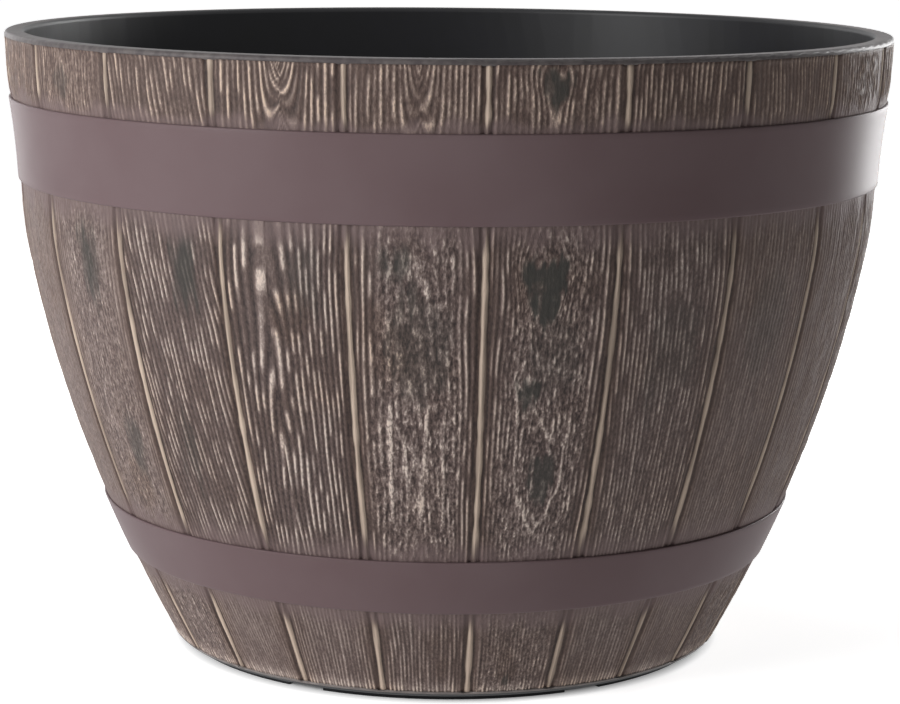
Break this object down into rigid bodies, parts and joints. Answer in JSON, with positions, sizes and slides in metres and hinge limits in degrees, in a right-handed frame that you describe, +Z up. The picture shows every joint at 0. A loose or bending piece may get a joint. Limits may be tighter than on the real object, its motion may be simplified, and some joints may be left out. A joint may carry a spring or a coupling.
{
  "type": "barrel planter",
  "caption": "Round moulded floor planter shaped like a tapering coopered tub, with relief staves, two raised hoops, a foot ring and push-in drain plugs in its floor.",
  "frame": {"origin": "on the ground, on the barrel's axis", "axes": "+Z up along the barrel's axis, front towards -Y"},
  "size_m": [0.508, 0.5078, 0.355],
  "materials": {
    "barrel_resin": "painted wood-grain resin outside, satin purple-brown hoops, bare black resin inside",
    "plug_plastic": "bare black moulded plastic"
  },
  "bodies": {
    "barrel": {"barrel_shell": "barrel_resin"},
    "plug_middle": {"drain_plug_middle": "plug_plastic"},
    "plug_front_left": {"drain_plug_front_left": "plug_plastic"},
    "plug_front_right": {"drain_plug_front_right": "plug_plastic"},
    "plug_back_left": {"drain_plug_back_left": "plug_plastic"},
    "plug_back_right": {"drain_plug_back_right": "plug_plastic"}
  },
  "joints": [
    {"name": "lift_plug_middle", "type": "slide", "parent": "barrel", "child": "plug_middle", "axis": [0, 0, 1], "range_m": [0, 0.04]},
    {"name": "lift_plug_front_left", "type": "slide", "parent": "barrel", "child": "plug_front_left", "axis": [0, 0, 1], "range_m": [0, 0.04]},
    {"name": "lift_plug_front_right", "type": "slide", "parent": "barrel", "child": "plug_front_right", "axis": [0, 0, 1], "range_m": [0, 0.04]},
    {"name": "lift_plug_back_left", "type": "slide", "parent": "barrel", "child": "plug_back_left", "axis": [0, 0, 1], "range_m": [0, 0.04]},
    {"name": "lift_plug_back_right", "type": "slide", "parent": "barrel", "child": "plug_back_right", "axis": [0, 0, 1], "range_m": [0, 0.04]}
  ]
}
